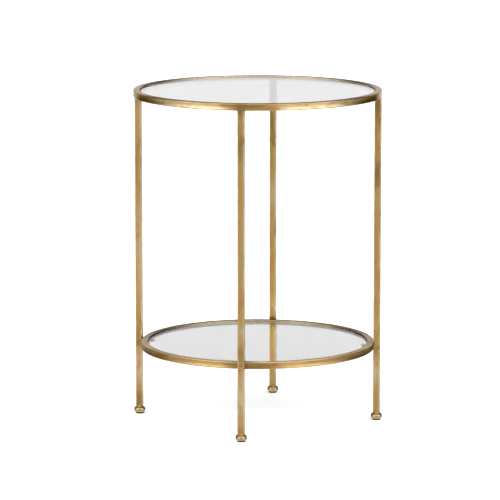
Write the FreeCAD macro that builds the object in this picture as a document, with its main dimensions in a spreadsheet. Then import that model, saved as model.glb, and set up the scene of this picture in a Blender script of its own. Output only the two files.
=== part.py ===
import FreeCAD, Part
import math
import os
import Sketcher

# A round side table with two glass shelves. Two rings bent from square tube are carried by four
# square tube legs that stand on small turned feet. The legs butt against the underside of the top
# ring and run past the outside of the lower one. Each ring holds a loose glass plate, which lies on
# clear bumpers pushed into tabs inside the ring.
#
# Millimetres. +Z is up, the floor is at zero and Z is the axis of both rings. The front leg stands
# on -Y, the right leg on +X, the back leg on +Y and the left leg on -X.

SIZES = (
    ("table_height", 610.0, "floor to the top of the top ring"),
    ("ring_radius", 227.5, "top ring, outer wall"),
    ("shelf_height", 143.5, "floor to the top of the lower ring"),
    ("ring_side", 12.7, "ring tube, outside width and height"),
    ("ring_wall", 1.2, "ring tube, wall"),
    ("ring_corner", 1.5, "ring tube, outside corner radius"),
    ("leg_side", 12.7, "leg tube, outside width"),
    ("leg_wall", 1.2, "leg tube, wall"),
    ("leg_corner", 1.5, "leg tube, outside corner radius"),
    ("least_corner", 0.3, "smallest corner radius inside a tube"),
    ("glass_thickness", 5.0, "both plates"),
    ("glass_recess", 2.5, "top of a plate below the top of its ring"),
    ("glass_gap", 1.0, "edge of a plate to the ring's inner wall"),
    ("glass_arris", 0.6, "bevel along the edges of a plate"),
    ("tab_width", 12.0, "glass tab, along the ring"),
    ("tab_length", 9.5, "glass tab, from the ring's inner wall inwards"),
    ("tab_thickness", 1.5, "glass tab"),
    ("tab_corner", 3.0, "glass tab, radius of its two free corners"),
    ("bumper_inset", 4.2, "middle of a bumper from the ring's inner wall"),
    ("bumper_radius", 3.5, "bumper, pad under the glass"),
    ("bumper_height", 1.5, "bumper, pad under the glass"),
    ("bumper_edge", 0.6, "bumper, rounding of the pad's rim"),
    ("bumper_stem", 1.6, "bumper, radius of the stem through its tab"),
    ("bumper_barb", 2.3, "bumper, radius of the barb below its tab"),
    ("barb_height", 1.2, "bumper, height of the barb"),
    ("stem_play", 0.05, "bumper stem to the hole in its tab"),
    ("foot_height", 16.0, "floor to the end of a leg"),
    ("neck_radius", 6.0, "foot, where it meets the leg"),
    ("shoulder_radius", 9.3, "foot, crease between cove and belly"),
    ("shoulder_height", 11.2, "foot, crease above the floor"),
    ("belly_radius", 10.4, "foot, widest circle"),
    ("belly_height", 6.6, "foot, widest circle above the floor"),
    ("sole_radius", 7.9, "foot, flat underside"),
    ("glide_radius", 7.2, "glide under a foot"),
    ("glide_thickness", 3.2, "glide under a foot"),
    ("glide_seat", 0.8, "depth of the glide's seat in its foot"),
    ("glide_edge", 0.5, "glide, rounding of its lower rim"),
    ("glide_play", 0.05, "glide to the rim of its seat"),
    ("screw_radius", 2.9, "foot screw, shank"),
    ("screw_length", 18.0, "foot screw, shank below the head"),
    ("screw_tip", 0.8, "foot screw, chamfer at the tip"),
    ("head_radius", 4.8, "foot screw, head"),
    ("head_height", 3.0, "foot screw, head"),
    ("head_play", 0.2, "foot screw, head to its counterbore"),
    ("shank_play", 0.3, "foot screw, shank to its hole in the foot"),
    ("key_radius", 2.3, "foot screw, key socket across its corners, halved"),
    ("key_depth", 1.8, "foot screw, depth of the key socket"),
    ("plug_height", 15.0, "threaded plug in the end of a leg"),
    ("plug_play", 0.05, "plug to the inside of its leg"),
    ("plug_corner", 1.4, "plug, corner radius, which clears the seam inside the tube"),
    ("plug_lead", 0.8, "plug, chamfer that leads it into the tube"),
    ("thread_play", 0.05, "foot screw to the plug's thread"),
    ("top_bead", 1.8, "weld bead between a leg and the top ring"),
    ("side_bead", 2.4, "weld bead between a leg and the lower ring"),
)

# The azimuth of each leg about the table's axis, in degrees from +X.
SIDES = (("front", -90.0), ("right", 0.0), ("back", 90.0), ("left", 180.0))

# Sizes that follow from the sheet. The legs stand under the middle of the top ring's tube, and the
# lower ring touches their inner faces.
LEG_RADIUS = "(Sizes.ring_radius - Sizes.ring_side / 2)"
LEG_FACE = f"({LEG_RADIUS} - Sizes.leg_side / 2)"
TOP_BORE = "(Sizes.ring_radius - Sizes.ring_side)"
SHELF_BORE = f"({LEG_FACE} - Sizes.ring_side)"
RING_BOTTOM = "(Sizes.table_height - Sizes.ring_side)"
SHELF_BOTTOM = "(Sizes.shelf_height - Sizes.ring_side)"
GLASS_DROP = "(Sizes.glass_recess + Sizes.glass_thickness)"
TAB_DROP = f"({GLASS_DROP} + Sizes.bumper_height + Sizes.tab_thickness)"
SOLE_HEIGHT = "(Sizes.glide_thickness - Sizes.glide_seat)"
HEAD_TOP = "(Sizes.glide_thickness + Sizes.head_height)"
LEG_BORE = "(Sizes.leg_side - 2 * Sizes.leg_wall)"
LEG_BORE_CORNER = "max(Sizes.leg_corner - Sizes.leg_wall; Sizes.least_corner)"
RING_BORE_CORNER = "max(Sizes.ring_corner - Sizes.ring_wall; Sizes.least_corner)"
LEG_FLAT = "(Sizes.leg_side - 2 * Sizes.leg_corner)"
RING_FLAT = "(Sizes.ring_side - 2 * Sizes.ring_corner)"

# How a sketch names its own axes, the points of an edge and the origin.
H_AXIS, V_AXIS = range(-1, -3, -1)
START, END, CENTRE = range(1, 4)
ORIGIN = (H_AXIS, START)

QUARTER_TURN = math.pi / 2

# How near two lengths lie when an edge is looked up by its size.
SAME = 1e-4

doc = FreeCAD.newDocument("tiered_side_table")
sizes = doc.addObject("Spreadsheet::Sheet", "Sizes")
for row, (alias, amount, meaning) in enumerate(SIZES, start=1):
    sizes.set(f"A{row}", meaning)
    sizes.set(f"B{row}", str(amount))
    sizes.setAlias(f"B{row}", alias)
doc.recompute()

pieces = []


def number(expression):
    """The present value of an expression over the sheet; None is zero, a place on an axis."""
    return 0.0 if expression is None else float(sizes.evalExpression(expression))


# ---------------------------------------------------------------- bodies and sketches

def new_body(label):
    """A body with its own label, kept in the list of sub-parts."""
    body = doc.addObject("PartDesign::Body", label)
    body.Label = label
    body.AllowCompound = True
    pieces.append(body)
    return body


def place(piece, azimuth, radius, height):
    """Stands a piece at a radius and height, turned about the table's axis."""
    turn = FreeCAD.Rotation(FreeCAD.Vector(0, 0, 1), azimuth)
    piece.Placement = FreeCAD.Placement(FreeCAD.Vector(), turn)
    piece.setExpression("Placement.Base.x", f"{radius} * cos({azimuth} deg)")
    piece.setExpression("Placement.Base.y", f"{radius} * sin({azimuth} deg)")
    piece.setExpression("Placement.Base.z", height)


def origin_plane(body, role):
    """One of a body's own three planes, such as XY_Plane."""
    return next(item for item in body.Origin.OriginFeatures if item.Role == role)


def new_sketch(body, name, role):
    """A sketch on one of the body's own planes."""
    sketch = body.newObject("Sketcher::SketchObject", name)
    sketch.AttachmentSupport = [(origin_plane(body, role), "")]
    sketch.MapMode = "FlatFace"
    return sketch


def point(x, y):
    """A point in a sketch."""
    return FreeCAD.Vector(x, y, 0)


def add_line(sketch, first, last):
    """A straight edge between two points."""
    return sketch.addGeometry(Part.LineSegment(first, last))


def add_arc(sketch, centre, radius, first, last):
    """An arc that runs anticlockwise between two angles in radians."""
    circle = Part.Circle(centre, FreeCAD.Vector(0, 0, 1), radius)
    return sketch.addGeometry(Part.ArcOfCircle(circle, first, last))


def relate(sketch, kind, *places):
    """A geometric constraint."""
    sketch.addConstraint(Sketcher.Constraint(kind, *places))


def dimension(sketch, name, expression, kind, *places):
    """A dimension with a name, tied to the sheet."""
    index = sketch.addConstraint(Sketcher.Constraint(kind, *places, number(expression)))
    sketch.renameConstraint(index, name)
    sketch.setExpression(f"Constraints.{name}", expression)


def fix_point(sketch, name, place_in_edge, x, y):
    """Ties one point of an edge to the origin; a coordinate of None puts it on that axis."""
    if x is None:
        relate(sketch, "PointOnObject", *place_in_edge, V_AXIS)
    else:
        dimension(sketch, name + "_x", x, "DistanceX", *ORIGIN, *place_in_edge)
    if y is None:
        relate(sketch, "PointOnObject", *place_in_edge, H_AXIS)
    else:
        dimension(sketch, name + "_y", y, "DistanceY", *ORIGIN, *place_in_edge)


def draw_circle(sketch, name, radius):
    """A circle about the sketch's origin."""
    circle = Part.Circle(point(0, 0), FreeCAD.Vector(0, 0, 1), number(radius))
    edge = sketch.addGeometry(circle)
    relate(sketch, "Coincident", edge, CENTRE, *ORIGIN)
    dimension(sketch, name, radius, "Radius", edge)
    return edge


def draw_polygon(sketch, corners):
    """A closed outline of straight edges; each corner is a name and two expressions."""
    places = [point(number(x), number(y)) for _, x, y in corners]
    edges = []
    for index, first in enumerate(places):
        edges.append(add_line(sketch, first, places[(index + 1) % len(places)]))
    for index, (name, x, y) in enumerate(corners):
        relate(sketch, "Coincident", edges[index - 1], END, edges[index], START)
        fix_point(sketch, name, (edges[index], START), x, y)
    return edges


def draw_rounded_square(sketch, name, side, corner, middle=None):
    """A square with round corners, about the origin or a middle given as two expressions."""
    half = number(side) / 2
    radius = number(corner)
    flat = half - radius
    shift = point(0, 0) if middle is None else point(number(middle[0]), number(middle[1]))
    lines = []
    arcs = []
    for quarter in range(4):
        turn = FreeCAD.Rotation(FreeCAD.Vector(0, 0, 1), 90 * quarter)
        first = shift + turn.multVec(point(-flat, -half))
        last = shift + turn.multVec(point(flat, -half))
        centre = shift + turn.multVec(point(flat, -flat))
        start_angle = (quarter - 1) * QUARTER_TURN
        lines.append(add_line(sketch, first, last))
        arcs.append(add_arc(sketch, centre, radius, start_angle, start_angle + QUARTER_TURN))
    for quarter in range(4):
        relate(sketch, "Tangent", lines[quarter], END, arcs[quarter], START)
        relate(sketch, "Tangent", arcs[quarter], END, lines[(quarter + 1) % 4], START)
    for quarter in range(3):
        relate(sketch, "Equal", arcs[quarter], arcs[quarter + 1])
    relate(sketch, "Horizontal", lines[0])
    relate(sketch, "Vertical", lines[1])
    relate(sketch, "Horizontal", lines[2])
    relate(sketch, "Vertical", lines[3])
    dimension(sketch, name + "_corner", corner, "Radius", arcs[0])
    dimension(sketch, name + "_width", side, "DistanceX", lines[3], START, lines[1], START)
    dimension(sketch, name + "_depth", side, "DistanceY", lines[0], START, lines[2], START)
    if middle is None:
        relate(sketch, "Symmetric", arcs[0], CENTRE, arcs[2], CENTRE, *ORIGIN)
    else:
        near_x = f"{middle[0]} - {side} / 2"
        near_y = f"{middle[1]} - {side} / 2"
        dimension(sketch, name + "_x", near_x, "DistanceX", *ORIGIN, lines[3], START)
        dimension(sketch, name + "_y", near_y, "DistanceY", *ORIGIN, lines[0], START)


# ---------------------------------------------------------------- features

def pad(body, name, sketch, length):
    """Raises a sketch by a length."""
    feature = body.newObject("PartDesign::Pad", name)
    feature.Profile = sketch
    feature.setExpression("Length", length)
    doc.recompute()
    return feature


def revolve(body, name, sketch, kind="PartDesign::Revolution"):
    """Turns a sketch once round its own upright axis."""
    feature = body.newObject(kind, name)
    feature.Profile = sketch
    feature.ReferenceAxis = (sketch, ["V_Axis"])
    feature.Angle = 360.0
    doc.recompute()
    return feature


def mirror(body, name, feature, role):
    """Adds a feature's mirror image across one of the body's planes."""
    image = body.newObject("PartDesign::Mirrored", name)
    image.Originals = [feature]
    image.MirrorPlane = (origin_plane(body, role), [""])
    body.Tip = image
    doc.recompute()
    return image


def dress_edges(body, name, kind, feature, edges, size):
    """Fillets or chamfers the named edges of a feature."""
    dressed = body.newObject(kind, name)
    dressed.Base = (feature, edges)
    dressed.setExpression("Radius" if kind.endswith("Fillet") else "Size", size)
    doc.recompute()
    return dressed


def circles_at(feature, radius, heights):
    """The full circles of one radius on a feature, at the given heights."""
    found = []
    for index, edge in enumerate(feature.Shape.Edges, start=1):
        if not isinstance(edge.Curve, Part.Circle):
            continue
        same_radius = abs(edge.Curve.Radius - radius) < SAME
        same_height = any(abs(edge.Curve.Center.z - height) < SAME for height in heights)
        if same_radius and same_height:
            found.append(f"Edge{index}")
    return found


def upright_edges_at(feature, x):
    """The upright straight edges of a feature at one x."""
    found = []
    for index, edge in enumerate(feature.Shape.Edges, start=1):
        box = edge.BoundBox
        if box.ZLength > SAME and box.XLength < SAME and box.YLength < SAME and abs(box.XMin - x) < SAME:
            found.append(f"Edge{index}")
    return found


def outer_edges_at(feature, height, reach):
    """The edges that lie flat at one height and no nearer to the axis than a reach."""
    found = []
    for index, edge in enumerate(feature.Shape.Edges, start=1):
        box = edge.BoundBox
        flat = box.ZLength < SAME and abs(box.ZMin - height) < SAME
        middle = edge.valueAt((edge.FirstParameter + edge.LastParameter) / 2)
        if flat and (middle.x ** 2 + middle.y ** 2) ** 0.5 > reach:
            found.append(f"Edge{index}")
    return found


# ---------------------------------------------------------------- rings and legs

def make_ring(label, bore, bottom):
    """A ring of square tube: its hollow section turned round the table's axis."""
    body = new_body(label)
    section = new_sketch(body, label + "_section", "XZ_Plane")
    middle = (f"({bore} + Sizes.ring_side / 2)", "(Sizes.ring_side / 2)")
    draw_rounded_square(section, "outside", "Sizes.ring_side", "Sizes.ring_corner", middle)
    hollow = "(Sizes.ring_side - 2 * Sizes.ring_wall)"
    draw_rounded_square(section, "inside", hollow, RING_BORE_CORNER, middle)
    revolve(body, label + "_turn", section)
    place(body, 0.0, "0", bottom)
    return body


def make_leg(side, azimuth):
    """A square tube from the foot to the underside of the top ring."""
    label = "leg_" + side
    body = new_body(label)
    section = new_sketch(body, label + "_section", "XY_Plane")
    draw_rounded_square(section, "outside", "Sizes.leg_side", "Sizes.leg_corner")
    draw_rounded_square(section, "inside", LEG_BORE, LEG_BORE_CORNER)
    pad(body, label + "_length", section, f"{RING_BOTTOM} - Sizes.foot_height")
    place(body, azimuth, LEG_RADIUS, "Sizes.foot_height")
    return body


def make_top_weld(side, azimuth):
    """Two hollow fillet beads that join the sides of a leg to the underside of the top ring."""
    label = "top_weld_" + side
    body = new_body(label)
    section = new_sketch(body, label + "_section", "YZ_Plane")
    half = number("Sizes.leg_side / 2")
    bead = number("Sizes.top_bead")
    across = add_line(section, point(half, bead), point(half + bead, bead))
    hollow = add_arc(section, point(half + bead, 0), bead, QUARTER_TURN, 2 * QUARTER_TURN)
    down = add_line(section, point(half, 0), point(half, bead))
    relate(section, "Coincident", across, END, hollow, START)
    relate(section, "Coincident", hollow, END, down, START)
    relate(section, "Coincident", down, END, across, START)
    relate(section, "Vertical", hollow, CENTRE, hollow, START)
    relate(section, "Horizontal", across)
    fix_point(section, "toe", (down, START), "Sizes.leg_side / 2", None)
    fix_point(section, "root", (across, START), "Sizes.leg_side / 2", "Sizes.top_bead")
    dimension(section, "size", "Sizes.top_bead", "Radius", hollow)
    bead_pad = pad(body, label + "_bead", section, f"min({LEG_FLAT}; {RING_FLAT})")
    bead_pad.Midplane = True
    mirror(body, label + "_pair", bead_pad, "XZ_Plane")
    place(body, azimuth, LEG_RADIUS, f"{RING_BOTTOM} - Sizes.top_bead")


def make_side_weld(side, azimuth, leg, ring):
    """Two upright beads in the grooves between a leg's corners and the wall of the lower ring."""
    label = "shelf_weld_" + side
    blank = doc.addObject("PartDesign::Body", label + "_blank")
    blank.AllowCompound = True
    section = new_sketch(blank, label + "_section", "XY_Plane")
    inside_ring = f"({LEG_FACE} - Sizes.ring_wall / 2)"
    inside_leg = "(Sizes.leg_side / 2 - Sizes.leg_wall / 2)"
    draw_polygon(section, (
        ("root", inside_ring, "(Sizes.leg_side / 2 - 2 * Sizes.leg_corner / 3)"),
        ("ring", inside_ring, "(Sizes.leg_side / 2 + Sizes.side_bead)"),
        ("leg", f"({LEG_FACE} + Sizes.side_bead)", inside_leg),
    ))
    bead = pad(blank, label + "_bead", section, RING_FLAT)
    mirror(blank, label + "_pair", bead, "XZ_Plane")
    place(blank, azimuth, "0", f"{SHELF_BOTTOM} + Sizes.ring_corner")
    beside_ring = doc.addObject("Part::Cut", label + "_beside_ring")
    beside_ring.Base = blank
    beside_ring.Tool = ring
    weld = doc.addObject("Part::Cut", label)
    weld.Label = label
    weld.Base = beside_ring
    weld.Tool = leg
    pieces.append(weld)


# ---------------------------------------------------------------- feet

def make_foot(side, azimuth):
    """A turned bun foot: cove under the leg, crease, round belly and flat sole, bored from below."""
    label = "foot_" + side
    body = new_body(label)
    outline = new_sketch(body, label + "_outline", "XZ_Plane")
    top = number("Sizes.foot_height")
    sole = number(SOLE_HEIGHT)
    neck = number("Sizes.neck_radius")
    sole_radius = number("Sizes.sole_radius")
    belly = point(number("Sizes.belly_radius"), number("Sizes.belly_height"))
    crease = point(number("Sizes.shoulder_radius"), number("Sizes.shoulder_height"))

    def centre_beside(level, at_level, other):
        """Centre of the arc from a point at its centre's level to another point."""
        rise = other.y - level
        return (at_level ** 2 - other.x ** 2 - rise ** 2) / (2 * (at_level - other.x))

    cove_centre = point(centre_beside(top, neck, crease), top)
    upper_centre = point(centre_beside(belly.y, belly.x, crease), belly.y)
    lower_centre = point(centre_beside(belly.y, belly.x, point(sole_radius, sole)), belly.y)

    def angle(centre, place_on_arc):
        """Angle between +X and the direction from a centre to a point on its arc."""
        return point(1, 0).getAngle(place_on_arc - centre)

    under = add_line(outline, point(0, sole), point(sole_radius, sole))
    lower = add_arc(outline, lower_centre, belly.x - lower_centre.x,
                    -angle(lower_centre, point(sole_radius, sole)), 0)
    upper = add_arc(outline, upper_centre, belly.x - upper_centre.x, 0, angle(upper_centre, crease))
    cove = add_arc(outline, cove_centre, cove_centre.x - neck,
                   2 * QUARTER_TURN, 4 * QUARTER_TURN - angle(cove_centre, crease))
    lid = add_line(outline, point(neck, top), point(0, top))
    axis = add_line(outline, point(0, top), point(0, sole))
    relate(outline, "Coincident", under, END, lower, START)
    relate(outline, "Coincident", lower, END, upper, START)
    relate(outline, "Coincident", upper, END, cove, END)
    relate(outline, "Coincident", cove, START, lid, START)
    relate(outline, "Coincident", lid, END, axis, START)
    relate(outline, "Coincident", axis, END, under, START)
    relate(outline, "Vertical", axis)
    relate(outline, "Horizontal", under)
    relate(outline, "Horizontal", lid)
    relate(outline, "Horizontal", lower, CENTRE, lower, END)
    relate(outline, "Horizontal", upper, CENTRE, upper, START)
    relate(outline, "Horizontal", cove, CENTRE, cove, START)
    relate(outline, "PointOnObject", axis, START, V_AXIS)
    fix_point(outline, "sole", (under, END), "Sizes.sole_radius", SOLE_HEIGHT)
    fix_point(outline, "belly", (lower, END), "Sizes.belly_radius", "Sizes.belly_height")
    fix_point(outline, "crease", (upper, END), "Sizes.shoulder_radius", "Sizes.shoulder_height")
    fix_point(outline, "neck", (lid, START), "Sizes.neck_radius", "Sizes.foot_height")
    turned = revolve(body, label + "_turn", outline)
    solid_volume = turned.Shape.Volume

    bore = new_sketch(body, label + "_bore", "XZ_Plane")
    seat = "(Sizes.glide_radius + Sizes.glide_play)"
    head = "(Sizes.head_radius + Sizes.head_play)"
    shank = "(Sizes.screw_radius + Sizes.shank_play)"
    draw_polygon(bore, (
        ("axis_low", None, None),
        ("seat_low", seat, None),
        ("seat_high", seat, "Sizes.glide_thickness"),
        ("head_low", head, "Sizes.glide_thickness"),
        ("head_high", head, HEAD_TOP),
        ("shank_low", shank, HEAD_TOP),
        ("shank_high", shank, "Sizes.foot_height"),
        ("axis_high", None, "Sizes.foot_height"),
    ))
    bored = revolve(body, label + "_boring", bore, "PartDesign::Groove")
    if bored.Shape.Volume >= solid_volume:
        raise RuntimeError(label + " was not bored")
    place(body, azimuth, LEG_RADIUS, "0")


def make_glide(side, azimuth):
    """A round glide seated in the sole of a foot, with a rounded lower rim."""
    label = "glide_" + side
    body = new_body(label)
    outline = new_sketch(body, label + "_outline", "XY_Plane")
    draw_circle(outline, "rim", "Sizes.glide_radius")
    disc = pad(body, label + "_disc", outline, "Sizes.glide_thickness")
    rim = circles_at(disc, number("Sizes.glide_radius"), (0.0,))
    dress_edges(body, label + "_edge", "PartDesign::Fillet", disc, rim, "Sizes.glide_edge")
    place(body, azimuth, LEG_RADIUS, "0")


def make_screw(side, azimuth):
    """The screw that holds a foot: low head with a key socket, plain shank, chamfered tip."""
    label = "foot_screw_" + side
    body = new_body(label)
    outline = new_sketch(body, label + "_outline", "XZ_Plane")
    tip = "(Sizes.head_height + Sizes.screw_length)"
    draw_polygon(outline, (
        ("axis_low", None, None),
        ("head_low", "Sizes.head_radius", None),
        ("head_high", "Sizes.head_radius", "Sizes.head_height"),
        ("shank_low", "Sizes.screw_radius", "Sizes.head_height"),
        ("shank_high", "Sizes.screw_radius", f"({tip} - Sizes.screw_tip)"),
        ("tip", "(Sizes.screw_radius - Sizes.screw_tip)", tip),
        ("axis_high", None, tip),
    ))
    turned = revolve(body, label + "_turn", outline)
    plain_volume = turned.Shape.Volume
    socket = body.newObject("PartDesign::SubtractivePrism", label + "_socket")
    socket.Polygon = 6
    socket.AttachmentSupport = [(origin_plane(body, "XY_Plane"), "")]
    socket.MapMode = "FlatFace"
    socket.setExpression("Circumradius", "Sizes.key_radius")
    socket.setExpression("Height", "Sizes.key_depth")
    doc.recompute()
    if socket.Shape.Volume >= plain_volume:
        raise RuntimeError(label + " has no key socket")
    place(body, azimuth, LEG_RADIUS, "Sizes.glide_thickness")


def make_plug(side, azimuth):
    """The threaded plug fixed in the lower end of a leg."""
    label = "leg_plug_" + side
    body = new_body(label)
    section = new_sketch(body, label + "_section", "XY_Plane")
    width = f"({LEG_BORE} - 2 * Sizes.plug_play)"
    draw_rounded_square(section, "outside", width, "Sizes.plug_corner")
    draw_circle(section, "thread", "(Sizes.screw_radius + Sizes.thread_play)")
    block = pad(body, label + "_block", section, "Sizes.plug_height")
    beyond_thread = number("Sizes.screw_radius + 2 * Sizes.thread_play")
    lead = outer_edges_at(block, number("Sizes.plug_height"), beyond_thread)
    dress_edges(body, label + "_lead", "PartDesign::Chamfer", block, lead, "Sizes.plug_lead")
    place(body, azimuth, LEG_RADIUS, "Sizes.foot_height")


# ---------------------------------------------------------------- glass and what carries it

def make_glass(label, bore, ring_top):
    """A round plate with ground, bevelled edges, set down into its ring."""
    body = new_body(label)
    outline = new_sketch(body, label + "_outline", "XY_Plane")
    radius = f"({bore} - Sizes.glass_gap)"
    draw_circle(outline, "edge", radius)
    plate = pad(body, label + "_plate", outline, "Sizes.glass_thickness")
    rims = circles_at(plate, number(radius), (0.0, number("Sizes.glass_thickness")))
    dress_edges(body, label + "_arris", "PartDesign::Chamfer", plate, rims, "Sizes.glass_arris")
    place(body, 0.0, "0", f"{ring_top} - {GLASS_DROP}")


def make_tab(label, azimuth, bore, ring_top):
    """A plate tab whose outer end follows the ring's inner wall, with a hole for its bumper."""
    body = new_body(label)
    outline = new_sketch(body, label + "_outline", "XY_Plane")
    wall = number(bore)
    half = number("Sizes.tab_width / 2")
    inner = number(f"{bore} - Sizes.tab_length")
    outer = (wall ** 2 - half ** 2) ** 0.5
    spread = point(1, 0).getAngle(point(outer, half))
    low = add_line(outline, point(inner, -half), point(outer, -half))
    end = add_arc(outline, point(0, 0), wall, -spread, spread)
    high = add_line(outline, point(outer, half), point(inner, half))
    free = add_line(outline, point(inner, half), point(inner, -half))
    relate(outline, "Coincident", low, END, end, START)
    relate(outline, "Coincident", end, END, high, START)
    relate(outline, "Coincident", high, END, free, START)
    relate(outline, "Coincident", free, END, low, START)
    relate(outline, "Coincident", end, CENTRE, *ORIGIN)
    relate(outline, "Horizontal", low)
    relate(outline, "Horizontal", high)
    relate(outline, "Symmetric", free, START, free, END, H_AXIS)
    dimension(outline, "wall", bore, "Radius", end)
    dimension(outline, "width", "Sizes.tab_width", "DistanceY", low, START, high, END)
    dimension(outline, "free_end", f"{bore} - Sizes.tab_length", "DistanceX", *ORIGIN, low, START)
    hole_place = f"{bore} - Sizes.bumper_inset"
    hole_radius = "Sizes.bumper_stem + Sizes.stem_play"
    circle = Part.Circle(point(number(hole_place), 0), FreeCAD.Vector(0, 0, 1), number(hole_radius))
    hole = outline.addGeometry(circle)
    relate(outline, "PointOnObject", hole, CENTRE, H_AXIS)
    dimension(outline, "hole_x", hole_place, "DistanceX", *ORIGIN, hole, CENTRE)
    dimension(outline, "hole", hole_radius, "Radius", hole)
    plate = pad(body, label + "_plate", outline, "Sizes.tab_thickness")
    corners = upright_edges_at(plate, inner)
    dress_edges(body, label + "_corners", "PartDesign::Fillet", plate, corners, "Sizes.tab_corner")
    place(body, azimuth, "0", f"{ring_top} - {TAB_DROP}")


def make_bumper(label, azimuth, bore, ring_top):
    """A clear push-in bumper: pad under the glass, stem through the tab, barb below it."""
    body = new_body(label)
    outline = new_sketch(body, label + "_outline", "XZ_Plane")
    tab_low = "Sizes.barb_height"
    tab_high = "(Sizes.barb_height + Sizes.tab_thickness)"
    pad_high = "(Sizes.barb_height + Sizes.tab_thickness + Sizes.bumper_height)"
    draw_polygon(outline, (
        ("axis_low", None, None),
        ("tip", "Sizes.bumper_stem", None),
        ("barb", "Sizes.bumper_barb", tab_low),
        ("stem_low", "Sizes.bumper_stem", tab_low),
        ("stem_high", "Sizes.bumper_stem", tab_high),
        ("pad_low", "Sizes.bumper_radius", tab_high),
        ("pad_high", "Sizes.bumper_radius", pad_high),
        ("axis_high", None, pad_high),
    ))
    turned = revolve(body, label + "_turn", outline)
    rim = circles_at(turned, number("Sizes.bumper_radius"), (number(pad_high),))
    dress_edges(body, label + "_rim", "PartDesign::Fillet", turned, rim, "Sizes.bumper_edge")
    place(body, azimuth, f"({bore} - Sizes.bumper_inset)", f"{ring_top} - {TAB_DROP} - {tab_low}")


# ---------------------------------------------------------------- the table

make_ring("top_ring", TOP_BORE, RING_BOTTOM)
lower_ring = make_ring("lower_ring", SHELF_BORE, SHELF_BOTTOM)
make_glass("top_glass", TOP_BORE, "Sizes.table_height")
make_glass("lower_glass", SHELF_BORE, "Sizes.shelf_height")
for side_name, side_azimuth in SIDES:
    side_leg = make_leg(side_name, side_azimuth)
    make_top_weld(side_name, side_azimuth)
    make_side_weld(side_name, side_azimuth, side_leg, lower_ring)
    make_plug(side_name, side_azimuth)
    make_foot(side_name, side_azimuth)
    make_screw(side_name, side_azimuth)
    make_glide(side_name, side_azimuth)
    make_tab("top_tab_" + side_name, side_azimuth, TOP_BORE, "Sizes.table_height")
    make_tab("shelf_tab_" + side_name, side_azimuth, SHELF_BORE, "Sizes.shelf_height")
    make_bumper("top_bumper_" + side_name, side_azimuth, TOP_BORE, "Sizes.table_height")
    make_bumper("shelf_bumper_" + side_name, side_azimuth, SHELF_BORE, "Sizes.shelf_height")
doc.recompute()

for item in doc.Objects:
    if "Invalid" in item.State or "Error" in item.State:
        raise RuntimeError(f"{item.Name} failed: {item.State}")
for piece in pieces:
    if piece.Shape.isNull() or not piece.Shape.isValid() or not piece.Shape.Solids:
        raise RuntimeError(piece.Label + " has no valid solid")

os.makedirs("parts", exist_ok=True)
for piece in pieces:
    piece.Shape.exportStep(f"parts/{piece.Label}.step")
    print(f"{piece.Label}: {len(piece.Shape.Solids)} solid(s), {piece.Shape.Volume:.1f} mm3")
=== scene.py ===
"""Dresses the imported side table.

Two brass rings on four square legs, with two clear glass plates and turned feet.
"""

import math

import bmesh
import bpy
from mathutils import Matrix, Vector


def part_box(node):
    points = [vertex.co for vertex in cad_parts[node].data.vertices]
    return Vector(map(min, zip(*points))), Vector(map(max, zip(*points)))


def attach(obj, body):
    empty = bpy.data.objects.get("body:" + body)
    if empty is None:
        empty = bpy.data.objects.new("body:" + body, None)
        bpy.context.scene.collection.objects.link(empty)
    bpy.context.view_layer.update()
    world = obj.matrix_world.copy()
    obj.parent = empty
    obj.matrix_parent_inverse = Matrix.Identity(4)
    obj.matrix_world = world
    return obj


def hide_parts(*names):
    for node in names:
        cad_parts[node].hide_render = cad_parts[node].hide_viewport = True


bl_info = {
    "name": "Tiered side table",
    "version": (1, 0, 0),
    "blender": (4, 5, 0),
    "location": "3D View > Sidebar > Side table",
    "description": "Antique brass, clear glass and a studio floor for the tiered side table",
    "category": "Object",
}

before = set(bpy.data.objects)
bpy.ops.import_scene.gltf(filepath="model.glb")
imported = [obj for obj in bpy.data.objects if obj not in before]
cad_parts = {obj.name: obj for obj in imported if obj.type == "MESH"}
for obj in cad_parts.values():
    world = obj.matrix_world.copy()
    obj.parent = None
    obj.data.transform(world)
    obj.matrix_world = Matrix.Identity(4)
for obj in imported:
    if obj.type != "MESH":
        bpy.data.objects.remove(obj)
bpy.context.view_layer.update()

SIDES = ("front", "right", "back", "left")
MM = 0.001
WHITE = (1.0, 1.0, 1.0)


def ring_sizes(node):
    """Middle radius, middle height and tube side of a ring, from its node's box."""
    low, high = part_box(node)
    side = high.z - low.z
    return high.x - side / 2, (low.z + high.z) / 2, side


TOP_MIDDLE, TOP_LEVEL, TUBE_SIDE = ring_sizes("top_ring")
SHELF_MIDDLE, SHELF_LEVEL, _ = ring_sizes("lower_ring")
LEG_LOW, LEG_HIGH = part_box("leg_front")
LEG_MIDDLE = -(LEG_LOW.y + LEG_HIGH.y) / 2
LEG_SIDE = LEG_HIGH.x - LEG_LOW.x


# ---------------------------------------------------------------- what a user may change


def length(label, about, value):
    """A size in metres that shows in the scene's own unit."""
    return bpy.props.FloatProperty(
        name=label, description=about, default=value, min=0.0, precision=5,
        unit="LENGTH", subtype="DISTANCE",
    )


def colour(label, about, value):
    """A colour picked from the wheel."""
    return bpy.props.FloatVectorProperty(
        name=label, description=about, default=value, size=3, min=0.0, max=1.0, subtype="COLOR"
    )


def number(label, about, value, top):
    """A plain number from nothing to its top."""
    return bpy.props.FloatProperty(name=label, description=about, default=value, min=0.0, max=top)


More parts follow.
